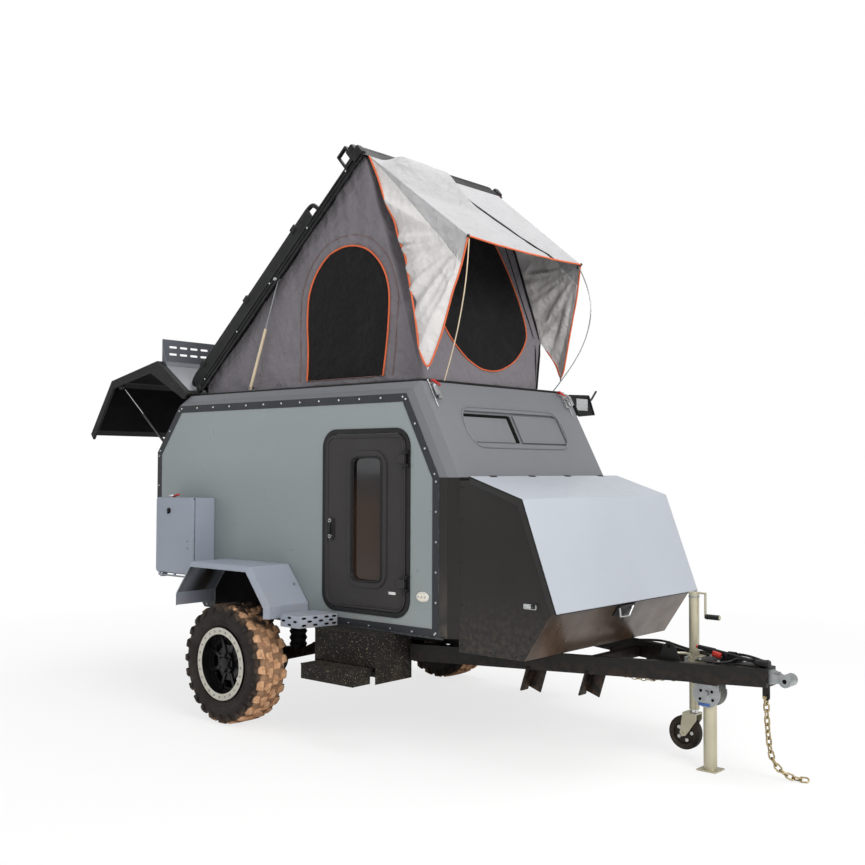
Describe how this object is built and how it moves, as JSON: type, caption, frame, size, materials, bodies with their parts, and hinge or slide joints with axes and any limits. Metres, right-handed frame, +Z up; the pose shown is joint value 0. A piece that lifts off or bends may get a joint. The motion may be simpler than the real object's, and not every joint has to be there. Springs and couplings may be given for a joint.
{
  "type": "camper trailer",
  "caption": "Folding camper trailer shown pitched: faceted cabin with raised tent lid and rear hatch, side doors, nose box, fenders, drawbar with drop leg, jockey wheel and coupling",
  "frame": {"origin": "on the ground under the middle of the bounding box", "axes": "+X towards the coupling, +Y to the left, +Z up"},
  "size_m": [5.7252, 2.4742, 3.8321],
  "materials": {
    "grey_paint": "satin",
    "trim_paint": "satin",
    "frame_paint": "satin",
    "door_paint": "satin",
    "blue_grey_paint": "satin",
    "nose_paint": "gloss",
    "nose_lid_paint": "gloss",
    "slate_paint": "satin",
    "black_paint": "satin",
    "chassis_paint": "satin",
    "step_paint": "rough",
    "wheel_paint": "satin",
    "zinc_steel": "zinc plated",
    "galvanised_steel": "galvanised",
    "bright_steel": "brushed",
    "strut_barrel": "satin",
    "strut_black": "satin",
    "rod_alloy": "brushed",
    "black_plastic": "matt",
    "black_rubber": "matt",
    "tyre": "matt",
    "tinted_glass": "tinted",
    "lamp_lens": "gloss",
    "red_lens": "gloss",
    "wall_fabric": "matt",
    "fly_fabric": "matt"
  },
  "bodies": {
    "trailer": {"air_springs": "black_rubber", "awning_case": "black_plastic", "bed_base": "black_paint", "cabin_shell": "grey_paint", "cable_plug": "black_plastic", "chassis_frame": "chassis_paint", "coupling_eye": "zinc_steel", "door_frames": "frame_paint", "drawbar": "chassis_paint", "drawbar_cable": "black_rubber", "drop_leg_bracket": "galvanised_steel", "fenders": "blue_grey_paint", "front_window": "tinted_glass", "handbrake": "black_plastic", "hatch_hinges": "black_paint", "hatch_strut_brackets": "galvanised_steel", "jockey_post": "zinc_steel", "marker_lamps": "lamp_lens", "nose_box": "nose_paint", "nose_latches": "bright_steel", "panel_trim": "trim_paint", "roof_latches": "bright_steel", "safety_chain": "zinc_steel", "side_boxes": "blue_grey_paint", "side_panel_left": "grey_paint", "side_panel_right": "grey_paint", "step_cases": "step_paint", "tail_lamps": "red_lens", "trailing_arms": "chassis_paint"},
    "wheel_right": {"wheel_right": "wheel_paint", "tyre_right": "tyre"},
    "wheel_left": {"wheel_left": "wheel_paint", "tyre_left": "tyre"},
    "bed_lid": {"bed_lid": "black_paint", "bed_walls": "wall_fabric", "bed_fly": "fly_fabric", "fly_rods": "rod_alloy"},
    "hatch": {"hatch_shell": "slate_paint", "hatch_rack": "blue_grey_paint"},
    "nose_lid": {"nose_lid": "nose_lid_paint"},
    "door_right": {"door_leaf_right": "door_paint", "door_glass_right": "tinted_glass"},
    "door_left": {"door_leaf_left": "door_paint", "door_glass_left": "tinted_glass"},
    "side_box_door_right": {"side_box_door_right": "blue_grey_paint"},
    "side_box_door_left": {"side_box_door_left": "blue_grey_paint"},
    "step_right": {"step_tread_right": "step_paint"},
    "step_left": {"step_tread_left": "step_paint"},
    "drop_leg": {"drop_leg": "zinc_steel"},
    "jockey_tube": {"jockey_tube": "bright_steel"},
    "jockey_fork": {"jockey_fork": "zinc_steel"},
    "jockey_wheel": {"jockey_wheel": "black_rubber"},
    "hatch_barrel_right": {"hatch_strut_barrel_right": "strut_black"},
    "hatch_rod_right": {"hatch_strut_rod_right": "bright_steel"},
    "bed_barrel_right": {"bed_strut_barrel_right": "strut_barrel"},
    "bed_rod_right": {"bed_strut_rod_right": "bright_steel"},
    "hatch_barrel_left": {"hatch_strut_barrel_left": "strut_black"},
    "hatch_rod_left": {"hatch_strut_rod_left": "bright_steel"},
    "bed_barrel_left": {"bed_strut_barrel_left": "strut_barrel"},
    "bed_rod_left": {"bed_strut_rod_left": "bright_steel"}
  },
  "joints": [
    {"name": "wheel_spin_right", "type": "hinge", "parent": "trailer", "child": "wheel_right", "pos_m": [-0.6306, -1.102, 0.4], "axis": [0, 1, 0], "continuous": true},
    {"name": "wheel_spin_left", "type": "hinge", "parent": "trailer", "child": "wheel_left", "pos_m": [-0.6306, 1.102, 0.4], "axis": [0, 1, 0], "continuous": true},
    {"name": "bed_lid_hinge", "type": "hinge", "parent": "trailer", "child": "bed_lid", "pos_m": [-1.5306, 0, 2.287], "axis": [0, 1, 0], "range_deg": [0, 41.2], "deforming": ["bed_walls", "bed_fly", "fly_rods"]},
    {"name": "hatch_hinge", "type": "hinge", "parent": "trailer", "child": "hatch", "pos_m": [-1.5846, 0, 2.232], "axis": [0, -1, 0], "range_deg": [0, 78.6]},
    {"name": "hatch_strut_pivot_right", "type": "hinge", "parent": "trailer", "child": "hatch_barrel_right", "pos_m": [-1.8756, -0.8, 1.893], "axis": [0, -1, 0], "range_deg": [0, 127.2]},
    {"name": "hatch_strut_slide_right", "type": "slide", "parent": "hatch_barrel_right", "child": "hatch_rod_right", "axis": [-0.7802, 0, 0.6255], "range_m": [-0.357, 0]},
    {"name": "bed_strut_pivot_right", "type": "hinge", "parent": "trailer", "child": "bed_barrel_right", "pos_m": [-0.9506, -0.725, 2.29], "axis": [0, 1, 0], "range_deg": [0, 69.4]},
    {"name": "bed_strut_slide_right", "type": "slide", "parent": "bed_barrel_right", "child": "bed_rod_right", "axis": [0.3626, 0, 0.9319], "range_m": [-0.2345, 0]},
    {"name": "hatch_strut_pivot_left", "type": "hinge", "parent": "trailer", "child": "hatch_barrel_left", "pos_m": [-1.8756, 0.8, 1.893], "axis": [0, -1, 0], "range_deg": [0, 127.2]},
    {"name": "hatch_strut_slide_left", "type": "slide", "parent": "hatch_barrel_left", "child": "hatch_rod_left", "axis": [-0.7802, 0, 0.6255], "range_m": [-0.357, 0]},
    {"name": "bed_strut_pivot_left", "type": "hinge", "parent": "trailer", "child": "bed_barrel_left", "pos_m": [-0.9506, 0.725, 2.29], "axis": [0, 1, 0], "range_deg": [0, 69.4]},
    {"name": "bed_strut_slide_left", "type": "slide", "parent": "bed_barrel_left", "child": "bed_rod_left", "axis": [0.3626, 0, 0.9319], "range_m": [-0.2345, 0]},
    {"name": "door_hinge_right", "type": "hinge", "parent": "trailer", "child": "door_right", "pos_m": [0.7124, -0.888, 1.384], "axis": [0, 0, 1], "range_deg": [0, 110]},
    {"name": "side_box_door_hinge_right", "type": "hinge", "parent": "trailer", "child": "side_box_door_right", "pos_m": [-1.3996, -1.0475, 0.923], "axis": [1, 0, 0], "range_deg": [0, 90]},
    {"name": "step_slide_right", "type": "slide", "parent": "trailer", "child": "step_right", "axis": [0, 1, 0], "range_m": [0, 0.155]},
    {"name": "door_hinge_left", "type": "hinge", "parent": "trailer", "child": "door_left", "pos_m": [0.7124, 0.888, 1.384], "axis": [0, 0, -1], "range_deg": [0, 110]},
    {"name": "side_box_door_hinge_left", "type": "hinge", "parent": "trailer", "child": "side_box_door_left", "pos_m": [-1.3996, 1.0475, 0.923], "axis": [-1, 0, 0], "range_deg": [0, 90]},
    {"name": "step_slide_left", "type": "slide", "parent": "trailer", "child": "step_left", "axis": [0, -1, 0], "range_m": [0, 0.155]},
    {"name": "nose_lid_hinge", "type": "hinge", "parent": "trailer", "child": "nose_lid", "pos_m": [1.1804, 0, 1.6575], "axis": [0, -1, 0], "range_deg": [0, 75]},
    {"name": "drop_leg_hinge", "type": "hinge", "parent": "trailer", "child": "drop_leg", "pos_m": [2.3334, -0.064, 0.442], "axis": [0, 1, 0], "range_deg": [0, 90]},
    {"name": "jockey_slide", "type": "slide", "parent": "trailer", "child": "jockey_tube", "axis": [0, 0, -1], "range_m": [0, 0.047]},
    {"name": "jockey_swivel", "type": "hinge", "parent": "jockey_tube", "child": "jockey_fork", "pos_m": [2.1514, 0.098, 0.272], "axis": [0, 0, 1], "range_deg": [-180, 15]},
    {"name": "jockey_wheel_spin", "type": "hinge", "parent": "jockey_fork", "child": "jockey_wheel", "pos_m": [2.0934, 0.098, 0.148], "axis": [0, 1, 0], "continuous": true}
  ],
  "couplings": [
    {"joint": "hatch_strut_pivot_right", "follows": "hatch_hinge", "ratio": 1.6158},
    {"joint": "hatch_strut_slide_right", "follows": "hatch_hinge", "m_per_rad": -0.2595},
    {"joint": "bed_strut_pivot_right", "follows": "bed_lid_hinge", "ratio": 1.6828},
    {"joint": "bed_strut_slide_right", "follows": "bed_lid_hinge", "m_per_rad": -0.3253},
    {"joint": "hatch_strut_pivot_left", "follows": "hatch_hinge", "ratio": 1.6158},
    {"joint": "hatch_strut_slide_left", "follows": "hatch_hinge", "m_per_rad": -0.2595},
    {"joint": "bed_strut_pivot_left", "follows": "bed_lid_hinge", "ratio": 1.6828},
    {"joint": "bed_strut_slide_left", "follows": "bed_lid_hinge", "m_per_rad": -0.3253}
  ]
}
